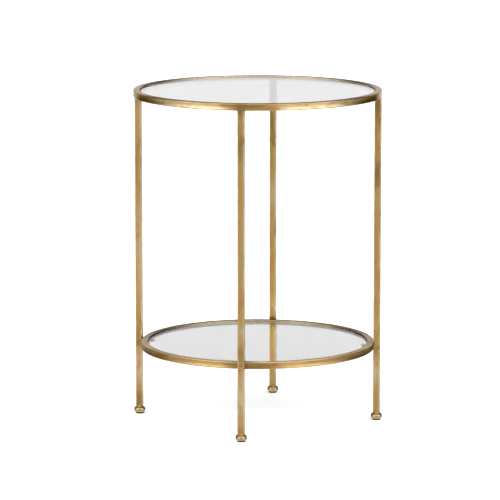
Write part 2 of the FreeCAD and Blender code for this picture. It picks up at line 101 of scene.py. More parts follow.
class TableSizes(bpy.types.PropertyGroup):
    """Sizes of the dressed pieces that the solids leave open."""

    tube_corner: length("Tube corner", "Outer corner radius of the square tube", 1.5 * MM)
    ring_hollow: length("Ring hollow", "How far a ring's outer wall sinks at its middle", 0.32 * MM)
    tube_hollow: length("Tube hollow", "How far a ring's other walls sink there", 0.10 * MM)
    leg_hollow: length("Leg hollow", "How far the walls of a leg sink there", 0.24 * MM)
    glass_arris: length("Glass arris", "Ground edge bevel of both plates", 0.6 * MM)
    weld_ripple: length("Weld ripple", "Depth of the grooves across a weld bead", 0.22 * MM)
    weld_pitch: length("Weld pitch", "Distance from one weld ripple to the next", 1.3 * MM)


class TableFinish(bpy.types.PropertyGroup):
    """Colours of the brass, the glass and the small parts."""

    # Also the painted highlight on the rings' side towards the camera and on the lower ring's top.
    rubbed: colour("Rubbed gold", "Pale gold where cloths rub the brass", (0.640, 0.500, 0.292))
    gold: colour("Aged gold", "Brass under a thin patina", (0.500, 0.316, 0.110))
    brown: colour("Patina", "Dark brown patina", (0.238, 0.142, 0.046))
    copper: colour("Blush", "Reddish blush where the plating is thin", (0.480, 0.250, 0.080))
    olive: colour("Olive", "Golden olive tarnish", (0.448, 0.310, 0.106))
    edge: colour("Rubbed edge", "Pale brass of rubbed corners", (0.720, 0.580, 0.380))
    # Also the painted dark band round the feet's belly and a little of their painted shade.
    scorch_and_painted_dark: colour("Scorch", "Dark heat tint beside the welds", (0.095, 0.052, 0.018))
    # Also the painted sheen on the outer walls at the rings' left and right ends.
    film_and_sheen: colour("Haze", "Grey film on the rings' tops and inner walls", (0.430, 0.388, 0.335))
    tarnish: colour("Tarnish", "Greenish grey where the film is old", (0.150, 0.138, 0.088))
    glass: colour("Glass", "Tint of the clear plates", (0.945, 0.952, 0.948))
    glass_edge: colour("Glass edge", "Green of the ground edges", (0.560, 0.700, 0.640))
    silicone: colour("Silicone", "Clear bumpers", (0.860, 0.880, 0.870))
    rubber: colour("Rubber", "Glides under the feet", (0.012, 0.010, 0.008))
    zinc: colour("Zinc", "Screws and plugs", (0.560, 0.565, 0.575))
    zinc_film: colour("Zinc film", "Dull film on screws and plugs", (0.340, 0.330, 0.290))
    # Painted shade: near-black for the inner walls of the rings where they stand in shadow.
    painted_inner_shade: colour("Crevice", "Dirt in the shade inside the rings", (0.010, 0.008, 0.006))
    # Painted shade, with a little grime: near-black for the feet's crease, underside and upturned
    # belly.
    shade_and_grime: colour("Grime", "Black dirt in the crease of the feet", (0.007, 0.005, 0.003))
    dust: colour("Dust", "Floor dust on the glides", (0.160, 0.150, 0.135))
    ring_glance: colour("Ring glance", "Tint of the rings at a slant", (0.560, 0.410, 0.280))
    haze_glance: colour("Haze glance", "Tint of the grey film at a slant", (0.700, 0.650, 0.580))


class StudioSetup(bpy.types.PropertyGroup):
    """Camera and light round the table."""

    lens: bpy.props.FloatProperty(
        name="Lens", description="Focal length on a 36 mm sensor", default=253.06, min=1.0,
        unit="CAMERA",
    )
    camera_turn: bpy.props.FloatProperty(
        name="Camera turn",
        description="How far the camera stands to the right of the front leg",
        default=math.radians(7.5845),
        subtype="ANGLE",
    )
    camera_pitch: bpy.props.FloatProperty(
        name="Camera pitch",
        description="How far the camera looks down",
        default=math.radians(9.3183),
        subtype="ANGLE",
    )
    camera_aim: bpy.props.FloatProperty(
        name="Camera aim",
        description="Small turn to the left of the table",
        default=math.radians(0.1257),
        subtype="ANGLE",
    )
    camera_place: bpy.props.FloatVectorProperty(
        name="Camera place",
        description="Where the camera stands",
        default=(0.8421, -6.3243, 1.3588),
        size=3,
        subtype="TRANSLATION",
    )
    floor_tone: colour("Floor", "Pale studio floor", (0.985, 0.985, 0.985))
    front: number("Front", "Light of the dim gap behind the camera", 0.60, 10.0)
    box_low: number("Softboxes, low", "Light of the side boxes below eye level", 1.50, 50.0)
    box_high: number("Softboxes, high", "Light of the side boxes above eye level", 3.00, 50.0)
    flag: number("Flags", "Light of the black flags beside the table", 0.09, 10.0)
    wall: number("Wall", "Light of the wall behind the table", 0.80, 10.0)
    ceiling: number("Ceiling", "Light from overhead", 1.75, 10.0)


# ---------------------------------------------------------------- wiring of node trees

# A Mix node lists the sockets of every data type. These are the ones for colours.
MIX_SHARE, MIX_FIRST, MIX_SECOND, MIX_RESULT = 0, 6, 7, 2


class Wire:
    """One output socket. Arithmetic on it adds Math nodes to its tree."""

    def __init__(self, nodes, socket):
        self.nodes = nodes
        self.socket = socket

    def __add__(self, other):
        return self.nodes.math("ADD", self, other)

    def __radd__(self, other):
        return self.nodes.math("ADD", other, self)

    def __sub__(self, other):
        return self.nodes.math("SUBTRACT", self, other)

    def __rsub__(self, other):
        return self.nodes.math("SUBTRACT", other, self)

    def __mul__(self, other):
        return self.nodes.math("MULTIPLY", self, other)

    def __rmul__(self, other):
        return self.nodes.math("MULTIPLY", other, self)

    def __truediv__(self, other):
        return self.nodes.math("DIVIDE", self, other)

    def __rtruediv__(self, other):
        return self.nodes.math("DIVIDE", other, self)

    def __pow__(self, other):
        return self.nodes.math("POWER", self, other)

    def __neg__(self):
        return self.nodes.math("MULTIPLY", self, -1.0)

    def __abs__(self):
        return self.nodes.math("ABSOLUTE", self)


class Nodes:
    """A node tree that is being wired. Every node is added by the one method add."""

    def __init__(self, tree):
        self.tree = tree
        tree.nodes.clear()

    def add(self, kind, settings=None, values=None, take=0):
        """A node of a kind: its settings first, then the values or links of its sockets.

        A list links several wires to one socket. take is the output that is returned.
        """
        node = self.tree.nodes.new(kind)
        for name, value in (settings or {}).items():
            setattr(node, name, value)
        for name, value in (values or {}).items():
            if isinstance(value, (Wire, list)):
                for wire in value if isinstance(value, list) else [value]:
                    self.tree.links.new(wire.socket, node.inputs[name])
            else:
                node.inputs[name].default_value = value
        return Wire(self, node.outputs[take]) if node.outputs else node

    def math(self, operation, *values):
        return self.add("ShaderNodeMath", {"operation": operation}, dict(enumerate(values)))

    def larger(self, first, *others):
        """The largest of several values."""
        for other in others:
            first = self.math("MAXIMUM", first, other)
        return first

    def smaller(self, first, second):
        return self.math("MINIMUM", first, second)

    def split(self, vector):
        """The three parts of a vector."""
        parts = self.add("ShaderNodeSeparateXYZ", None, {0: vector})
        return [Wire(self, socket) for socket in parts.socket.node.outputs]

    def join(self, x, y, z):
        return self.add("ShaderNodeCombineXYZ", None, {0: x, 1: y, 2: z})

    def ease(self, value, start, end):
        """0 before start, 1 past end and a smooth rise between them; start may be the larger."""
        if start > end:
            return 1.0 - self.ease(value, end, start)
        return self.add(
            "ShaderNodeMapRange", {"interpolation_type": "SMOOTHSTEP"}, {0: value, 1: start, 2: end}
        )

    def near(self, value, middle, reach):
        """1 where a value is at its middle, falling smoothly to 0 at reach."""
        return self.ease(abs(value - middle), reach, 0.0)

    def blend(self, share, first, second):
        """Colour between two colours."""
        tones = [tone if isinstance(tone, Wire) else (*tone, 1.0) for tone in (first, second)]
        return self.add(
            "ShaderNodeMix", {"data_type": "RGBA"},
            {MIX_SHARE: share, MIX_FIRST: tones[0], MIX_SECOND: tones[1]}, take=MIX_RESULT,
        )

    def coats(self, tone, *coats):
        """A colour under several coats, each a share and a colour."""
        for share, coat in coats:
            tone = self.blend(share, tone, coat)
        return tone

    def noise(self, vector, scale, detail=2.0, roughness=0.5, distortion=0.0):
        """Smooth noise from 0 to 1."""
        return self.add(
            "ShaderNodeTexNoise",
            {"noise_dimensions": "3D"},
            {"Vector": vector, "Scale": scale, "Detail": detail, "Roughness": roughness,
             "Distortion": distortion},
        )

    def relief(self, height, strength, distance):
        """Surface direction over a height map whose full height stands for a distance."""
        return self.add(
            "ShaderNodeBump", None, {"Strength": strength, "Distance": distance, "Height": height}
        )

    def surface(self, values):
        """A shader of metal, glass or paint with its values and links."""
        return self.add("ShaderNodeBsdfPrincipled", None, values)

    def layered(self, share, under, over):
        """Two shaders, of which the second covers its share."""
        return self.add("ShaderNodeMixShader", None, {0: share, 1: under, 2: over})


def material(name, wire_up):
    """A material whose nodes are wired by a function that gets its Nodes and returns the shader."""
    made = bpy.data.materials.new(name)
    made.use_nodes = True
    nodes = Nodes(made.node_tree)
    nodes.add("ShaderNodeOutputMaterial", None, {"Surface": wire_up(nodes)})
    return made


def object_place(nodes):
    """The object's own coordinates in millimetres."""
    place = nodes.add("ShaderNodeTexCoord", take="Object")
    scaled = nodes.add("ShaderNodeVectorMath", {"operation": "SCALE"}, {0: place, "Scale": 1 / MM})
    return nodes.split(scaled)


# ---------------------------------------------------------------- finishes


def brass(nodes, finish, rub, flow, grain, edge, heat, dark, tint=WHITE):
    """Antique brass: aged or rubbed gold, copper blush, olive tarnish, patina and scorched joints.

    flow is a vector that runs slowly along the piece and grain one that runs across its brushing.
    The rest are wires or numbers from 0 to 1: rub for polished stretches, which on the rings are
    also painted highlight, edge for rubbed corners, heat for the neighbourhood of welds, which on
    the feet also draws a painted dark reflection band, and dark for stretches that kept their
    patina. tint colours what the metal mirrors at a slant.
    """
    drift = nodes.noise(flow, 1.0, 3.0, 0.55, 0.4)
    cloud = nodes.noise(flow, 2.7, 4.0, 0.6, 0.8)
    blush = nodes.noise(flow, 1.7, 2.0, 0.5, 0.2)
    speck = nodes.noise(flow, 14.0, 3.0, 0.65)
    lines = nodes.noise(grain, 1.0, 3.0, 0.6)
    bare = rub * nodes.ease(cloud, 0.25, 0.60)
    brown = nodes.ease(drift + (cloud - 0.5) * 0.4 + dark * 0.40 - rub * 0.25, 0.50, 0.78)
    tone = nodes.coats(
        finish.gold,
        (nodes.ease(blush, 0.50, 0.66) * 0.8, finish.copper),
        (nodes.ease(blush, 0.50, 0.36) * 0.8, finish.olive),
        (bare, finish.rubbed),
        (brown * 0.8, finish.brown),
        (nodes.ease(speck, 0.62, 0.74) * 0.25, finish.brown),
        (nodes.ease(lines, 0.45, 0.75) * 0.06, finish.edge),
        (edge * nodes.ease(cloud, 0.70, 0.35) * 0.6, finish.edge),
        (heat, finish.scorch_and_painted_dark),
    )
    rough = 0.25 + brown * 0.07 + heat * 0.12 + (lines - 0.5) * 0.08 - edge * 0.04
    return nodes.surface(
        {"Base Color": tone, "Metallic": 1.0, "Roughness": rough, "Specular Tint": (*tint, 1.0),
         "Normal": nodes.relief(lines * 0.6 + speck * 0.4, 0.10, 0.05 * MM)},
    )


def from_leg_axis(nodes, x, y):
    """How far a point of a leg or foot lies from its own axis along X and Y, in millimetres."""
    middle = LEG_MIDDLE / MM
    return [nodes.smaller(abs(part), abs(abs(part) - middle)) for part in (x, y)]


# Patches of patina on the legs: leg, height and reach in millimetres, and the amount, which is
# below zero where the patch is rubbed.
PATCHES = (
    ("front", 535.0, 48.0, 0.75), ("front", 600.0, 22.0, 0.35), ("front", 200.0, 24.0, -0.5),
    ("front", 160.0, 22.0, 0.25), ("front", 85.0, 66.0, -0.85),
    ("right", 580.0, 50.0, 0.6), ("right", 456.0, 44.0, 0.95), ("right", 316.0, 30.0, 0.25),
    ("right", 90.0, 40.0, -0.9), ("right", 180.0, 22.0, -0.2),
    ("back", 525.0, 50.0, 0.4), ("back", 385.0, 48.0, -0.6), ("back", 150.0, 20.0, 0.5),
    ("back", 176.0, 24.0, -0.25), ("back", 92.0, 44.0, -0.3),
    ("left", 545.0, 50.0, -0.5), ("left", 464.0, 34.0, 0.25), ("left", 300.0, 150.0, -0.55),
    ("left", 90.0, 46.0, -1.0), ("left", 24.0, 26.0, 0.6),
)


# Heat tint on the legs, by its reach in millimetres and its amount.
HEAT_TOP = (9.0, 0.35)
HEAT_SHELF = (17.0, 0.45)
HEAT_FOOT = (7.0, 0.40)

# Darkening on the legs' inner side, in the scorch colour: how far above the shelf ring's middle,
# its reach and its amount.
INNER_DARK_RISE, INNER_DARK_REACH, INNER_DARK_SHARE = 5.0, 11.0, 0.9

# Where cloths rub every leg: height as a part of the leg's, reach in millimetres and amount.
RUB_HEIGHT, RUB_REACH, RUB_SHARE = 0.55, 220.0, 0.12


def leg_brass(finish):
    """Brass of the upright tubes, brushed along their length, with its own patina on each leg."""

    def wire_up(nodes):
        x, y, z = object_place(nodes)
        middle = LEG_MIDDLE / MM
        half = LEG_SIDE / MM / 2
        shelf = SHELF_LEVEL / MM
        low, high = LEG_LOW.z / MM, LEG_HIGH.z / MM
        across, through = from_leg_axis(nodes, x, y)
        edge = nodes.ease(nodes.smaller(across, through), 0.60 * half, 0.88 * half) * 1.5
        heat = 0.0
        for height, (reach, amount) in ((high, HEAT_TOP), (shelf, HEAT_SHELF), (low, HEAT_FOOT)):
            heat = heat + nodes.near(z, height, reach) * amount
        spots = nodes.noise(nodes.join(x, y, z), 0.11, 2.0, 0.5)
        heat = heat * nodes.ease(spots, 0.40, 0.66)
        inward = nodes.ease(nodes.larger(abs(x), abs(y)), middle - 0.5 * half, middle - 0.9 * half)
        scorch_and_painted_dark = inward * nodes.near(z, shelf + INNER_DARK_RISE, INNER_DARK_REACH) * INNER_DARK_SHARE
        heat = nodes.larger(heat, scorch_and_painted_dark)
        flow = nodes.join(x * 0.04, y * 0.04, z * 0.014)
        grain = nodes.join(x * 1.6, y * 1.6, z * 0.02)
        outer = middle / 2
        on_leg = {
            "front": nodes.math("LESS_THAN", y, -outer),
            "right": nodes.math("GREATER_THAN", x, outer),
            "back": nodes.math("GREATER_THAN", y, outer),
            "left": nodes.math("LESS_THAN", x, -outer),
        }
        rub = nodes.near(z, RUB_HEIGHT * high, RUB_REACH) * RUB_SHARE
        dark = 0.0
        for side, height, reach, amount in PATCHES:
            patch = nodes.near(z, height, reach) * on_leg[side] * abs(amount)
            if amount < 0.0:
                rub = rub + patch
            else:
                dark = dark + patch
        return brass(nodes, finish, rub, flow, grain, edge, heat, dark)

    return material("antique_brass_leg", wire_up)


# Zones of the rings' finish, and of the highlight, shade and sheen painted on it: where each starts
# and where it is full, in millimetres. LEFT and RIGHT count along X and FRONT and BACK towards the
# camera, all from the table's middle. AT_LEG counts from the plane of the nearest leg.
LIT_WEAR_RIGHT = (46.0, 84.0)
LIT_WEAR_LEFT = (0.0, -54.0)
LIT_WEAR_FRONT = (120.0, 150.0)
HEAT_AT_LEG = (14.0, 6.0)
DARK_AT_LEG = (60.0, 20.0)
BROWN_AT_LEG = (44.0, 12.0)
LIT_TOP_FRONT = (20.0, 110.0)
FILM_BEHIND_FRONT = (150.0, 60.0)
AGED_BACK = (-20.0, -130.0)
SHADE_LEFT = (-162.0, -198.0)
SHADE_RIGHT = (122.0, 165.0)
SHADE_FRONT = (-75.0, -50.0)
SHEEN_ENDS_FRONT = (88.0, 42.0)
SHEEN_ENDS_BACK = (-64.0, -20.0)

# The painted sheen at the ends of the lower ring lies this much further forward.
LOWER_SHEEN_SHIFT = 24.0

# The stretch whose top is less golden, and the dark band along the walls: middle and reach.
DULL_MIDDLE, DULL_REACH = -10.0, 90.0
BAND_HEIGHT, BAND_REACH = 1.9, 3.4

# Direction from the table's middle towards the camera, as its parts to the right and to the front.
TO_CAMERA_RIGHT, TO_CAMERA_FRONT = 0.132, 0.991


def ring_brass(finish):
    """Brass of the bent tubes, rubbed bright between the legs towards the camera, partly as painted
    highlight, and filmed over inside and on top.
    """

    def wire_up(nodes):
        x, y, z = object_place(nodes)
        radius = nodes.math("SQRT", x * x + y * y)
        upper = nodes.math("GREATER_THAN", z, (TOP_LEVEL + SHELF_LEVEL) / 2 / MM)
        lower = 1.0 - upper
        middle = SHELF_MIDDLE / MM + upper * ((TOP_MIDDLE - SHELF_MIDDLE) / MM)
        level = SHELF_LEVEL / MM + upper * ((TOP_LEVEL - SHELF_LEVEL) / MM)
        half = TUBE_SIDE / MM / 2
        out = radius - middle
        up = z - level
        toward_camera = x * TO_CAMERA_RIGHT - y * TO_CAMERA_FRONT
        beside = nodes.smaller(abs(x), abs(y))

        # Where on the tube's section a point lies, by parts of half its side or in millimetres.
        corner = nodes.ease(nodes.smaller(abs(out), abs(up)), 0.76 * half, 0.95 * half)
        arris = nodes.ease(up, half - 2.4, half - 1.4) * nodes.ease(out, half - 2.4, half - 1.2)
        inner = nodes.ease(out, -0.78 * half, -0.95 * half)
        outside = nodes.ease(out, 0.78 * half, 0.95 * half)
        outward = nodes.ease(out, -0.9 * half, -0.5 * half)
        top = nodes.ease(up, 0.75 * half, 0.95 * half)
        lip = nodes.ease(up, half - 2.0, half - 1.0)

        # Bare brass: rubbed pale on the side that faces the camera, partly wear and partly painted
        # highlight;
        # dark near the legs and along its band.
        sides = nodes.ease(x, *LIT_WEAR_RIGHT) + nodes.ease(x, *LIT_WEAR_LEFT)
        worn = sides * nodes.ease(toward_camera, *LIT_WEAR_FRONT)
        rub = worn * (0.22 + upper * 0.78) * outward
        heat = nodes.ease(beside, *HEAT_AT_LEG) * 0.30 * nodes.ease(out, 0.0, half)
        band = nodes.near(up, BAND_HEIGHT, BAND_REACH) * 0.5
        dark = band + nodes.ease(beside, *DARK_AT_LEG) * 0.5 + arris + top * 0.6
        flow = nodes.join(x * 0.016, y * 0.016, up * 0.06 + level * 0.01)
        grain = nodes.join(out * 1.6, up * 1.6, nodes.math("ARCTAN2", y, x) * 2.0)
        edge = corner * (1.0 - arris)
        metal = brass(nodes, finish, rub, flow, grain, edge, heat, dark, finish.ring_glance)

        # Grey film over the tops and the inner walls, and over the outer walls at the left and
        # right ends, where it is a painted sheen.
        film = nodes.noise(nodes.join(x * 0.02, y * 0.02, up * 0.1), 1.0, 3.0, 0.6)
        dull = nodes.near(toward_camera, DULL_MIDDLE, DULL_REACH) * 0.65
        golden = top * (0.34 + film * 0.44) * (1.0 - dull)
        # Painted light: the lower ring's top turns paler and less metallic towards the camera, and
        # browner again near the legs.
        pale = top * lower * nodes.ease(toward_camera, *LIT_TOP_FRONT)
        tops = top * nodes.larger(nodes.ease(toward_camera, *FILM_BEHIND_FRONT), lower * 0.7)
        aged = nodes.ease(toward_camera, *AGED_BACK)
        # Painted shade: the inner walls at the left and right ends turn near-black, weaker on the
        # lower ring, over their whole depth except far back, where only their upper lip does.
        shaded = nodes.larger(nodes.ease(x, *SHADE_LEFT), nodes.ease(x, *SHADE_RIGHT) * 0.6)
        deep = nodes.larger(lip, nodes.ease(toward_camera, *SHADE_FRONT))
        shadow = inner * (0.7 + upper * 0.3) * shaded * deep
        tone = nodes.coats(
            finish.film_and_sheen,
            (nodes.ease(film, 0.35, 0.75) * 0.35, finish.olive),
            (inner * lower * 0.55, finish.brown),
            (outside * (0.5 - upper * 0.3), finish.brown),
            (golden, finish.gold),
            (pale * 0.45, finish.rubbed),
            (pale * nodes.ease(beside, *BROWN_AT_LEG) * 0.7, finish.brown),
            (aged * 0.45, finish.tarnish),
            (aged * top * lower * 0.35, finish.brown),
            (shadow * 0.95, finish.painted_inner_shade),
        )
        bright = aged * top * (0.35 + upper * 0.15)
        film_and_sheen = nodes.surface(
            {"Base Color": tone,
             "Metallic": 1.0 - nodes.larger(upper, tops) * 0.5 - pale * 0.15 + bright,
             "Roughness": 0.20 + film * 0.14, "Specular Tint": (*finish.haze_glance, 1.0)},
        )
        # Painted sheen: the grey layer also covers the outer walls at the left and right ends as
        # seen from the camera, a little further forward on the lower ring.
        shifted = toward_camera - lower * LOWER_SHEEN_SHIFT
        ends = nodes.ease(shifted, *SHEEN_ENDS_FRONT) * nodes.ease(toward_camera, *SHEEN_ENDS_BACK)
        return nodes.layered(nodes.larger(inner, tops, ends), metal, film_and_sheen)

    return material("antique_brass_ring", wire_up)


# Zones of a turned foot in millimetres: where each starts and where it is full, as heights above
# the floor and, for the belly, as a radius.
# The sole, crease and upturned zones mark painted shade.
FOOT_SOLE = (3.4, 2.7)
# A painted reflection: a dark band round the belly, though the shape has no cut there.
FOOT_DARK_BAND, DARK_BAND_REACH = 6.2, 1.2
FOOT_UPTURNED_SHADE = (5.8, 8.4)
FOOT_CREASE_LOW = (9.9, 10.7)
FOOT_CREASE_HIGH = (12.6, 11.8)
FOOT_COVE = (11.4, 12.4)
FOOT_BELLY = (8.2, 9.4)


def turned_brass(finish):
    """Brass of the turned feet, with fine turning lines, a painted dark reflection band, and
    painted shade with a little grime in the crease, underneath and on the upturned belly.
    """

    def wire_up(nodes):
        x, y, z = object_place(nodes)
        across, through = from_leg_axis(nodes, x, y)
        radius = nodes.math("SQRT", across * across + through * through)
        flow = nodes.join(x * 0.06, y * 0.06, z * 0.12)
        grain = nodes.join(radius * 0.9, z * 3.4, 0.0)
        # Painted shade: a near-black layer over the crease, the underside and the upturned part of
        # the belly.
        crease = nodes.ease(z, *FOOT_CREASE_LOW) * nodes.ease(z, *FOOT_CREASE_HIGH)
        cove = nodes.ease(z, *FOOT_COVE)
        under = nodes.ease(z, *FOOT_SOLE)
        dark_band = nodes.near(z, FOOT_DARK_BAND, DARK_BAND_REACH)
        upturned_shade = nodes.ease(z, *FOOT_UPTURNED_SHADE) * (1.0 - cove) * 0.5
        belly = nodes.ease(radius, *FOOT_BELLY) * (1.0 - cove) * 0.6
        # Painted reflection: the dark band round the belly, with heat tint in the cove.
        heat = dark_band * 0.45 + cove * 0.3
        metal = brass(nodes, finish, belly, flow, grain, belly, heat, cove)
        # The dark layer is painted shade, with a little grime in its colour.
        shade_and_grime = nodes.noise(nodes.join(x, y, z), 0.5, 3.0)
        dirt = nodes.surface(
            {"Base Color": nodes.blend(shade_and_grime * 0.25, finish.shade_and_grime, finish.scorch_and_painted_dark),
             "Roughness": 0.55 + shade_and_grime * 0.3, "Specular IOR Level": 0.15},
        )
        return nodes.layered(nodes.larger(crease * 0.8, under, upturned_shade), metal, dirt)

    return material("brass_of_feet", wire_up)


def small_brass(finish):
    """Brass of the tabs and the weld beads: duller, with no brushing."""

    def wire_up(nodes):
        x, y, z = object_place(nodes)
        flow = nodes.join(x * 0.08, y * 0.08, z * 0.08)
        grain = nodes.join(x * 0.8, y * 0.8, z * 0.8)
        heat = nodes.ease(nodes.noise(flow, 3.0), 0.30, 0.62) * 0.4 + 0.5
        return brass(nodes, finish, 0.0, flow, grain, 0.0, heat, heat * 0.5)

    return material("antique_brass_small", wire_up)


GLASS_IOR = 1.5
SILICONE_IOR = 1.41


def clear_glass(finish):
    """Polished face of the plates, with a trace of ripple and wiping marks."""

    def wire_up(nodes):
        x, y, z = object_place(nodes)
        wipes = nodes.noise(nodes.join(x * 0.010, y * 0.034, z), 1.0, 3.0, 0.6, 1.2)
        rough = nodes.ease(wipes, 0.50, 0.85) * 0.03 + 0.004
        ripple = nodes.noise(nodes.join(x, y, z), 0.006, 1.0)
        clear = nodes.surface(
            {"Base Color": (*finish.glass, 1.0), "Roughness": rough, "IOR": GLASS_IOR,
             "Transmission Weight": 1.0, "Normal": nodes.relief(ripple, 0.05, 0.1 * MM)},
        )
        sheen = nodes.surface({"Base Color": (*WHITE, 1.0), "Metallic": 1.0, "Roughness": 0.02})
        grazing = nodes.add("ShaderNodeLayerWeight", None, {"Blend": 0.5}, take="Facing")
        return nodes.layered(nodes.ease(grazing, 0.70, 0.93) * 0.7, clear, sheen)

    return material("polished_glass", wire_up)


def ground_glass(finish):
    """Ground edge of the plates: greener and matt."""

    def wire_up(nodes):
        x, y, z = object_place(nodes)
        marks = nodes.noise(nodes.join(x * 0.5, y * 0.5, z * 3.0), 1.0, 3.0, 0.6)
        tone = nodes.blend(marks, finish.glass_edge, finish.glass)
        return nodes.surface(
            {"Base Color": tone, "Roughness": 0.22 + marks * 0.2, "IOR": GLASS_IOR,
             "Transmission Weight": 0.85, "Normal": nodes.relief(marks, 0.2, 0.05 * MM)},
        )

    return material("ground_glass", wire_up)


def clear_silicone(finish):
    """Soft clear bumpers, a little cloudy."""

    def wire_up(nodes):
        x, y, z = object_place(nodes)
        cloud = nodes.noise(nodes.join(x, y, z), 0.6, 2.0)
        tone = nodes.blend(nodes.ease(cloud, 0.35, 0.8) * 0.4, finish.silicone, WHITE)
        return nodes.surface(
            {"Base Color": tone, "Roughness": 0.16 + cloud * 0.14, "IOR": SILICONE_IOR,
             "Transmission Weight": 0.7},
        )

    return material("clear_silicone", wire_up)


def dark_rubber(finish):
    """Matt glides, greyed by floor dust at their rim."""

    def wire_up(nodes):
        x, y, z = object_place(nodes)
        dust = nodes.noise(nodes.join(x, y, z * 2.0), 0.5, 4.0, 0.65)
        worn = nodes.ease(dust, 0.50, 0.75) * nodes.ease(z, 1.2, 0.0) * 0.25
        return nodes.surface(
            {"Base Color": nodes.blend(worn, finish.rubber, finish.dust),
             "Roughness": 0.62 + dust * 0.2, "Specular IOR Level": 0.15,
             "Normal": nodes.relief(dust, 0.3, 0.1 * MM)},
        )

    return material("rubber_of_glides", wire_up)


def zinc_steel(finish):
    """Zinc-plated screws and plugs, spangled and a little dull."""

    def wire_up(nodes):
        x, y, z = object_place(nodes)
        place = nodes.join(x, y, z)
        spangle = nodes.add("ShaderNodeTexVoronoi", None, {"Vector": place, "Scale": 0.9})
        film = nodes.noise(place, 0.35, 3.0)
        tone = nodes.blend(nodes.ease(film, 0.45, 0.8) * 0.5, finish.zinc, finish.zinc_film)
        return nodes.surface(
            {"Base Color": tone, "Metallic": 1.0, "Roughness": 0.28 + spangle * 0.16}
        )

    return material("zinc_steel", wire_up)


# ---------------------------------------------------------------- shapes

TUBE_POINTS = 64
RING_STEPS = 384
PLATE_STEPS = 288
BEAD_CORNERS, BEAD_ROWS = 14, 64
MERGE_DISTANCE = 0.001 * MM

FLOAT, COUNT, VECTOR = "NodeSocketFloat", "NodeSocketInt", "NodeSocketVector"
TUBE_INPUTS = {
    "Side": FLOAT, "Corner": FLOAT, "Hollow": FLOAT, "Outer Hollow": FLOAT, "Points": COUNT,
}

# A bead's rounded ends: how long they are against its width and how thick they start.
BEAD_END, BEAD_END_SIZE = 0.5, 0.3


def new_tree(name, sizes):
    """A Geometry Nodes tree with named size inputs, and its Nodes, input wires and identifiers."""
    tree = bpy.data.node_groups.new(name, "GeometryNodeTree")
    tree.interface.new_socket("Geometry", in_out="OUTPUT", socket_type="NodeSocketGeometry")
    ids = {}
    for label, kind in sizes.items():
        ids[label] = tree.interface.new_socket(label, in_out="INPUT", socket_type=kind).identifier
    nodes = Nodes(tree)
    start = nodes.add("NodeGroupInput")
    wires = {label: Wire(nodes, start.socket.node.outputs[label]) for label in sizes}
    return tree, nodes, wires, ids


def end_tree(nodes, shape, finish):
    """Realises a shape, gives it its material and joins it to the tree's output."""
    real = nodes.add("GeometryNodeRealizeInstances", None, {0: shape})
    shaded = nodes.add("GeometryNodeSetShadeSmooth", None, {0: real, "Shade Smooth": True})
    dressed = nodes.add("GeometryNodeSetMaterial", None, {0: shaded, "Material": finish})
    nodes.add("NodeGroupOutput", None, {0: dressed})


def grow(name, tree, ids, values):
    """Runs a tree on an empty mesh and returns its result as a plain mesh object."""
    seed = bpy.data.objects.new(name + "_seed", bpy.data.meshes.new(name + "_seed"))
    bpy.context.collection.objects.link(seed)
    modifier = seed.modifiers.new("shape", "NODES")
    modifier.node_group = tree
    for label, value in values.items():
        modifier[ids[label]] = value
    graph = bpy.context.evaluated_depsgraph_get()
    mesh = bpy.data.meshes.new_from_object(seed.evaluated_get(graph), depsgraph=graph)
    mesh.name = name
    empty_mesh = seed.data
    bpy.data.objects.remove(seed)
    bpy.data.meshes.remove(empty_mesh)
    return add_piece(name, mesh)


def add_piece(name, mesh):
    """Links a finished mesh as an object that sits at the origin."""
    piece = bpy.data.objects.new(name, mesh)
    bpy.context.collection.objects.link(piece)
    return piece


def dress_node(node, finish):
    """Gives a node of the solid model its finish."""
    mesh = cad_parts[node].data
    mesh.materials.clear()
    mesh.materials.append(finish)


def finished(name, maker, context):
    """The named material, made when it is first asked for."""
    return bpy.data.materials.get(name) or maker(context.scene.table_finish)


def tube_section(nodes, size):
    """Outline of a square tube with round corners and sunken walls, the +X one by its own depth."""
    half = size["Side"] / 2.0
    flat = half - size["Corner"]
    square = nodes.add(
        "GeometryNodeCurvePrimitiveQuadrilateral", {"mode": "RECTANGLE"},
        {"Width": size["Side"], "Height": size["Side"]},
    )
    points = nodes.add(
        "GeometryNodeResampleCurve", {"mode": "COUNT"}, {"Curve": square, "Count": size["Points"]}
    )
    x, y, _ = nodes.split(nodes.add("GeometryNodeInputPosition"))
    core_x = nodes.larger(nodes.smaller(x, flat), -flat)
    core_y = nodes.larger(nodes.smaller(y, flat), -flat)
    away_x = x - core_x
    away_y = y - core_y
    away = nodes.math("SQRT", away_x * away_x + away_y * away_y)
    outer = nodes.math("GREATER_THAN", x, flat)
    depth = size["Hollow"] + outer * (size["Outer Hollow"] - size["Hollow"])
    spread_x = 1.0 - (core_x / flat) ** 2.0
    spread_y = 1.0 - (core_y / flat) ** 2.0
    sink = depth * (spread_x + spread_y)
    reach = (size["Corner"] - sink) / away
    placed = nodes.join(core_x + away_x * reach, core_y + away_y * reach, 0.0)
    return nodes.add("GeometryNodeSetPosition", None, {0: points, "Position": placed})


def ring_tree(finish):
    """Square tube bent to a ring."""
    tree, nodes, size, ids = new_tree(
        "bent_square_tube",
        {"Middle Radius": FLOAT, "Level": FLOAT, "Steps": COUNT, **TUBE_INPUTS},
    )
    path = nodes.add(
        "GeometryNodeCurvePrimitiveCircle", {"mode": "RADIUS"},
        {"Resolution": size["Steps"], "Radius": size["Middle Radius"]},
    )
    lifted = nodes.add(
        "GeometryNodeTransform", None, {0: path, "Translation": nodes.join(0.0, 0.0, size["Level"])}
    )
    section = tube_section(nodes, size)
    tube = nodes.add("GeometryNodeCurveToMesh", None, {"Curve": lifted, "Profile Curve": section})
    end_tree(nodes, tube, finish)
    return tree, ids


